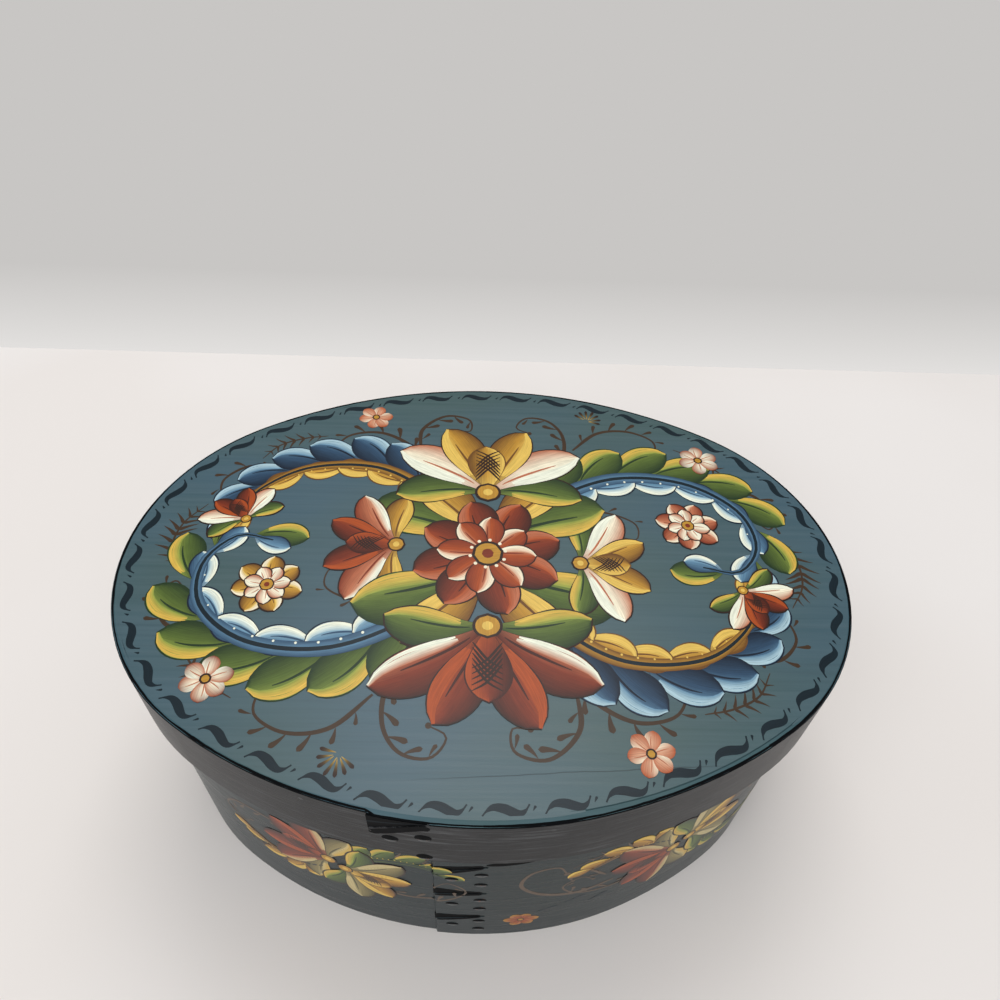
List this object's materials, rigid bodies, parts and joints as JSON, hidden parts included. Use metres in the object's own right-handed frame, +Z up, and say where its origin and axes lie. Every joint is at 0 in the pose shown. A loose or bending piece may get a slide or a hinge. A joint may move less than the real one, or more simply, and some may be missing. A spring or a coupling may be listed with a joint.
{
  "type": "oval bentwood box",
  "caption": "Oval lidded storage box of thin bent wood bands with swallowtail finger laps, and a deep lift-off lid, painted.",
  "frame": {"origin": "centre of the box's oval on the face it stands on", "axes": "+X along the long axis, +Y towards the back, away from the finger laps, +Z up through the lid"},
  "size_m": [0.2794, 0.21, 0.1205],
  "materials": {
    "box_paint": "brushed slate paint, satin varnish",
    "band_paint": "dark charcoal glaze over wood grain, satin",
    "lid_paint": "slate blue paint with folk painting, satin varnish",
    "bare_wood": "planed pale wood",
    "peg_wood": "painted over, satin",
    "tack_metal": "copper alloy tacks, painted over and dulled"
  },
  "bodies": {
    "box": {"box_band": "box_paint", "box_bottom": "bare_wood", "box_tacks": "tack_metal", "box_pegs": "peg_wood"},
    "lid": {"lid_band": "band_paint", "lid_top": "lid_paint", "lid_tacks": "tack_metal", "lid_pegs": "peg_wood"}
  },
  "joints": [
    {"name": "lid_lift", "type": "slide", "parent": "box", "child": "lid", "axis": [0, 0, 1], "range_m": [0, 0.1]}
  ]
}
